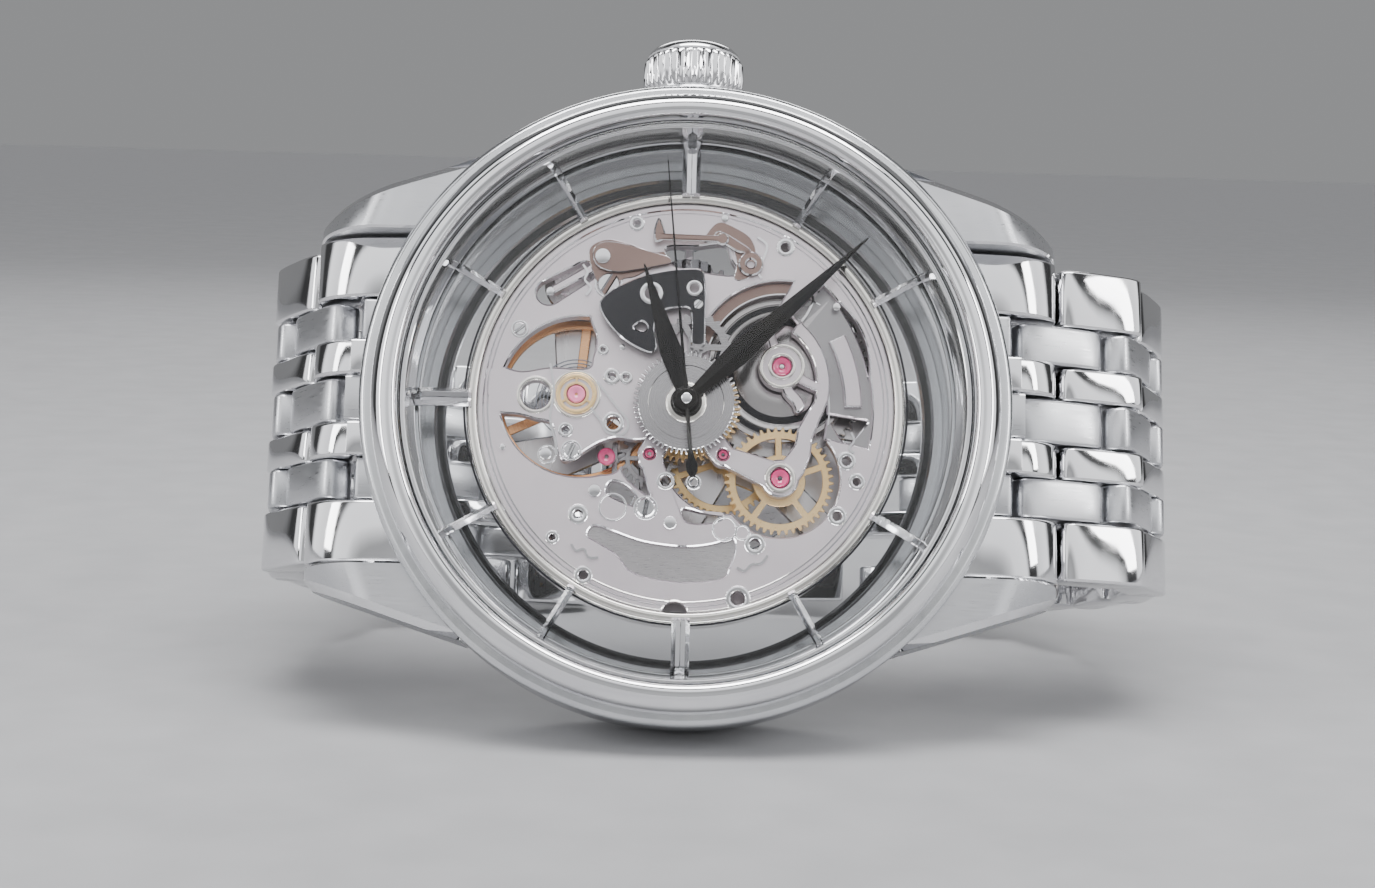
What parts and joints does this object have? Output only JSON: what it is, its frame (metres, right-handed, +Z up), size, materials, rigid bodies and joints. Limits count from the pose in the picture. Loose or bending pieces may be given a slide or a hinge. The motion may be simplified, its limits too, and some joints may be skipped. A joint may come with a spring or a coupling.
{
  "type": "skeleton wristwatch",
  "caption": "Automatic skeleton wristwatch with an open dial, visible going train and balance, clear case back and closed link bracelet, resting on its side.",
  "frame": {"origin": "centre of the footprint, on the surface the closed watch rests on", "axes": "+Z up, towards the crown at 3 o'clock; -Y is the way the dial faces, tilted up by 18 degrees; +X points from 12 towards 6 o'clock"},
  "size_m": [0.061, 0.049, 0.0434],
  "materials": {
    "polished_steel": "mirror polished stainless steel",
    "brushed_steel": "satin brushed stainless steel",
    "frosted_rhodium": "frosted rhodium plate on brass",
    "grey_steel": "grained grey steel",
    "black_polish": "black polished steel",
    "gilt_brass": "circular grained gilt brass",
    "copper_gilt": "rose gilt beryllium copper",
    "spring_steel": "blued spring steel",
    "ruby": "polished synthetic ruby",
    "clear_glass": "clear sapphire glass"
  },
  "bodies": {
    "case": {"case_middle": "brushed_steel", "bezel": "polished_steel", "crystal": "clear_glass", "case_back": "polished_steel", "case_back_glass": "clear_glass", "hour_marker_ring": "polished_steel", "clear_dial_ring": "clear_glass", "movement_rim": "polished_steel", "main_plate": "frosted_rhodium", "barrel_bridge": "frosted_rhodium", "train_bridge": "frosted_rhodium", "balance_cock": "frosted_rhodium", "balance_jewel": "ruby", "barrel_jewel": "ruby", "great_wheel_jewel": "ruby", "setting_cover": "black_polish", "rotor_bearing": "polished_steel", "left_end_link": "brushed_steel", "right_end_link": "brushed_steel"},
    "minute_hand": {"minute_hand": "black_polish", "cannon_pinion": "grey_steel"},
    "minute_wheel": {"minute_wheel": "grey_steel"},
    "hour_hand": {"hour_hand": "black_polish", "hour_wheel": "grey_steel"},
    "seconds_hand": {"seconds_hand": "black_polish", "seconds_wheel": "gilt_brass"},
    "third_wheel": {"third_wheel": "gilt_brass"},
    "great_wheel": {"great_wheel": "gilt_brass"},
    "barrel": {"barrel_drum": "grey_steel", "mainspring": "spring_steel"},
    "escape_wheel": {"escape_wheel": "grey_steel"},
    "balance": {"balance_wheel": "copper_gilt", "hairspring": "spring_steel"},
    "pallet_fork": {"pallet_fork": "grey_steel"},
    "rotor": {"rotor": "brushed_steel"},
    "winding_pinion": {"winding_pinion": "grey_steel"},
    "crown_wheel": {"crown_wheel": "grey_steel"},
    "ratchet_wheel": {"ratchet_wheel": "grey_steel"},
    "crown": {"crown": "polished_steel", "winding_stem": "polished_steel"},
    "sliding_pinion": {"sliding_pinion": "grey_steel"},
    "setting_lever": {"setting_lever": "copper_gilt"},
    "yoke": {"yoke": "copper_gilt"},
    "right_link_1": {"right_link_1": "brushed_steel"},
    "right_link_2": {"right_link_2": "brushed_steel"},
    "right_link_3": {"right_link_3": "brushed_steel"},
    "right_link_4": {"right_link_4": "brushed_steel"},
    "right_link_5": {"right_link_5": "brushed_steel"},
    "right_link_6": {"right_link_6": "brushed_steel"},
    "right_link_7": {"right_link_7": "brushed_steel"},
    "left_link_1": {"left_link_1": "brushed_steel"},
    "left_link_2": {"left_link_2": "brushed_steel"},
    "left_link_3": {"left_link_3": "brushed_steel"},
    "left_link_4": {"left_link_4": "brushed_steel"},
    "left_link_5": {"left_link_5": "brushed_steel"},
    "left_link_6": {"left_link_6": "brushed_steel"},
    "left_link_7": {"left_link_7": "brushed_steel"},
    "clasp_cover": {"clasp_cover": "polished_steel"},
    "clasp_long_blade": {"clasp_long_blade": "polished_steel"},
    "clasp_short_blade": {"clasp_short_blade": "polished_steel"}
  },
  "joints": [
    {"name": "minute_hand_turn", "type": "hinge", "parent": "case", "child": "minute_hand", "pos_m": [-0.00244, -0.01493, 0.02032], "axis": [0, 0.9518, -0.3066], "continuous": true},
    {"name": "minute_wheel_turn", "type": "hinge", "parent": "case", "child": "minute_wheel", "pos_m": [-0.00184, -0.01381, 0.02377], "axis": [0, 0.9518, -0.3066], "continuous": true},
    {"name": "hour_hand_turn", "type": "hinge", "parent": "case", "child": "hour_hand", "pos_m": [-0.00244, -0.01493, 0.02032], "axis": [0, 0.9518, -0.3066], "continuous": true},
    {"name": "seconds_hand_turn", "type": "hinge", "parent": "case", "child": "seconds_hand", "pos_m": [-0.00244, -0.01493, 0.02032], "axis": [0, 0.9518, -0.3066], "continuous": true},
    {"name": "third_wheel_turn", "type": "hinge", "parent": "case", "child": "third_wheel", "pos_m": [-0.00004, -0.01588, 0.01737], "axis": [0, 0.9518, -0.3066], "continuous": true},
    {"name": "great_wheel_turn", "type": "hinge", "parent": "case", "child": "great_wheel", "pos_m": [0.00356, -0.01631, 0.01603], "axis": [0, 0.9518, -0.3066], "continuous": true},
    {"name": "barrel_turn", "type": "hinge", "parent": "case", "child": "barrel", "pos_m": [0.00356, -0.01411, 0.02284], "axis": [0, 0.9518, -0.3066], "continuous": true},
    {"name": "escape_wheel_turn", "type": "hinge", "parent": "case", "child": "escape_wheel", "pos_m": [-0.00464, -0.01589, 0.01732], "axis": [0, 0.9518, -0.3066], "continuous": true},
    {"name": "balance_swing", "type": "hinge", "parent": "case", "child": "balance", "pos_m": [-0.00934, -0.01477, 0.02079], "axis": [0, 0.9518, -0.3066], "range_deg": [-270, 270], "stiffness_Nm_per_rad": 0.0000005},
    {"name": "pallet_fork_rock", "type": "hinge", "parent": "case", "child": "pallet_fork", "pos_m": [-0.00734, -0.01594, 0.01718], "axis": [0, 0.9518, -0.3066], "range_deg": [-5, 5]},
    {"name": "rotor_turn", "type": "hinge", "parent": "case", "child": "rotor", "pos_m": [-0.00244, -0.01493, 0.02032], "axis": [0, 0.9518, -0.3066], "continuous": true},
    {"name": "crown_turn", "type": "hinge", "parent": "case", "child": "winding_pinion", "pos_m": [-0.00244, -0.01017, 0.02856], "axis": [0, 0.3066, 0.9518], "continuous": true},
    {"name": "crown_wheel_turn", "type": "hinge", "parent": "case", "child": "crown_wheel", "pos_m": [-0.00104, -0.01269, 0.02727], "axis": [0, 0.9518, -0.3066], "continuous": true},
    {"name": "ratchet_wheel_turn", "type": "hinge", "parent": "case", "child": "ratchet_wheel", "pos_m": [0.00356, -0.01411, 0.02284], "axis": [0, 0.9518, -0.3066], "continuous": true},
    {"name": "crown_pull", "type": "slide", "parent": "winding_pinion", "child": "crown", "axis": [0, 0.3066, 0.9518], "range_m": [0, 0.0011]},
    {"name": "sliding_pinion_slide", "type": "slide", "parent": "winding_pinion", "child": "sliding_pinion", "axis": [0, 0.3066, 0.9518], "range_m": [-0.00056, 0]},
    {"name": "setting_lever_turn", "type": "hinge", "parent": "case", "child": "setting_lever", "pos_m": [-0.00794, -0.01205, 0.02926], "axis": [0, 0.9518, -0.3066], "range_deg": [-11.5, 0]},
    {"name": "yoke_turn", "type": "hinge", "parent": "case", "child": "yoke", "pos_m": [0.00146, -0.01211, 0.02907], "axis": [0, 0.9518, -0.3066], "range_deg": [-11.5, 0]},
    {"name": "right_link_1_hinge", "type": "hinge", "parent": "case", "child": "right_link_1", "pos_m": [0.01996, -0.01198, 0.01937], "axis": [0, 0.3066, 0.9518], "range_deg": [-25, 0]},
    {"name": "right_link_2_hinge", "type": "hinge", "parent": "right_link_1", "child": "right_link_2", "pos_m": [0.02588, -0.00993, 0.01871], "axis": [0, 0.3066, 0.9518], "range_deg": [-47, 0]},
    {"name": "right_link_3_hinge", "type": "hinge", "parent": "right_link_2", "child": "right_link_3", "pos_m": [0.02883, -0.00463, 0.017], "axis": [0, 0.3066, 0.9518], "range_deg": [-31, 0]},
    {"name": "right_link_4_hinge", "type": "hinge", "parent": "right_link_3", "child": "right_link_4", "pos_m": [0.02905, 0.00136, 0.01507], "axis": [0, 0.3066, 0.9518], "range_deg": [-21, 0]},
    {"name": "right_link_5_hinge", "type": "hinge", "parent": "right_link_4", "child": "right_link_5", "pos_m": [0.02753, 0.00718, 0.0132], "axis": [0, 0.3066, 0.9518], "range_deg": [-23, 0]},
    {"name": "right_link_6_hinge", "type": "hinge", "parent": "right_link_5", "child": "right_link_6", "pos_m": [0.02419, 0.01227, 0.01156], "axis": [0, 0.3066, 0.9518], "range_deg": [-25, 0]},
    {"name": "right_link_7_hinge", "type": "hinge", "parent": "right_link_6", "child": "right_link_7", "pos_m": [0.01923, 0.01596, 0.01037], "axis": [0, 0.3066, 0.9518], "range_deg": [-23, 0]},
    {"name": "left_link_1_hinge", "type": "hinge", "parent": "case", "child": "left_link_1", "pos_m": [-0.02484, -0.01198, 0.01937], "axis": [0, 0.3066, 0.9518], "range_deg": [0, 60]},
    {"name": "left_link_2_hinge", "type": "hinge", "parent": "left_link_1", "child": "left_link_2", "pos_m": [-0.02846, -0.00706, 0.01778], "axis": [0, 0.3066, 0.9518], "range_deg": [0, 34]},
    {"name": "left_link_3_hinge", "type": "hinge", "parent": "left_link_2", "child": "left_link_3", "pos_m": [-0.02912, -0.0011, 0.01586], "axis": [0, 0.3066, 0.9518], "range_deg": [0, 19]},
    {"name": "left_link_4_hinge", "type": "hinge", "parent": "left_link_3", "child": "left_link_4", "pos_m": [-0.02824, 0.00484, 0.01395], "axis": [0, 0.3066, 0.9518], "range_deg": [0, 19]},
    {"name": "left_link_5_hinge", "type": "hinge", "parent": "left_link_4", "child": "left_link_5", "pos_m": [-0.02588, 0.0104, 0.01216], "axis": [0, 0.3066, 0.9518], "range_deg": [0, 21]},
    {"name": "left_link_6_hinge", "type": "hinge", "parent": "left_link_5", "child": "left_link_6", "pos_m": [-0.022, 0.01512, 0.01064], "axis": [0, 0.3066, 0.9518], "range_deg": [0, 23]},
    {"name": "left_link_7_hinge", "type": "hinge", "parent": "left_link_6", "child": "left_link_7", "pos_m": [-0.01678, 0.01848, 0.00956], "axis": [0, 0.3066, 0.9518], "range_deg": [0, 21]},
    {"name": "clasp_cover_hinge", "type": "hinge", "parent": "left_link_7", "child": "clasp_cover", "pos_m": [-0.01079, 0.02033, 0.00896], "axis": [0, 0.3066, 0.9518], "range_deg": [0, 60]},
    {"name": "clasp_long_blade_hinge", "type": "hinge", "parent": "clasp_cover", "child": "clasp_long_blade", "pos_m": [0.00993, 0.01838, 0.00959], "axis": [0, 0.3066, 0.9518], "range_deg": [0, 60]},
    {"name": "clasp_short_blade_hinge", "type": "hinge", "parent": "clasp_long_blade", "child": "clasp_short_blade", "pos_m": [-0.00745, 0.01953, 0.00922], "axis": [0, 0.3066, 0.9518], "range_deg": [-60, 0]}
  ],
  "couplings": [
    {"joint": "minute_wheel_turn", "follows": "minute_hand_turn", "ratio": -0.66667},
    {"joint": "hour_hand_turn", "follows": "minute_hand_turn", "ratio": 0.083333},
    {"joint": "third_wheel_turn", "follows": "seconds_hand_turn", "ratio": -0.125},
    {"joint": "great_wheel_turn", "follows": "seconds_hand_turn", "ratio": 0.016667},
    {"joint": "barrel_turn", "follows": "seconds_hand_turn", "ratio": -0.0041667},
    {"joint": "escape_wheel_turn", "follows": "seconds_hand_turn", "ratio": -9},
    {"joint": "crown_wheel_turn", "follows": "crown_turn", "ratio": -0.55},
    {"joint": "ratchet_wheel_turn", "follows": "crown_turn", "ratio": 0.34375},
    {"joint": "sliding_pinion_slide", "follows": "crown_pull", "ratio": -0.5},
    {"joint": "setting_lever_turn", "follows": "crown_pull", "rad_per_m": -180},
    {"joint": "yoke_turn", "follows": "crown_pull", "rad_per_m": -180}
  ]
}
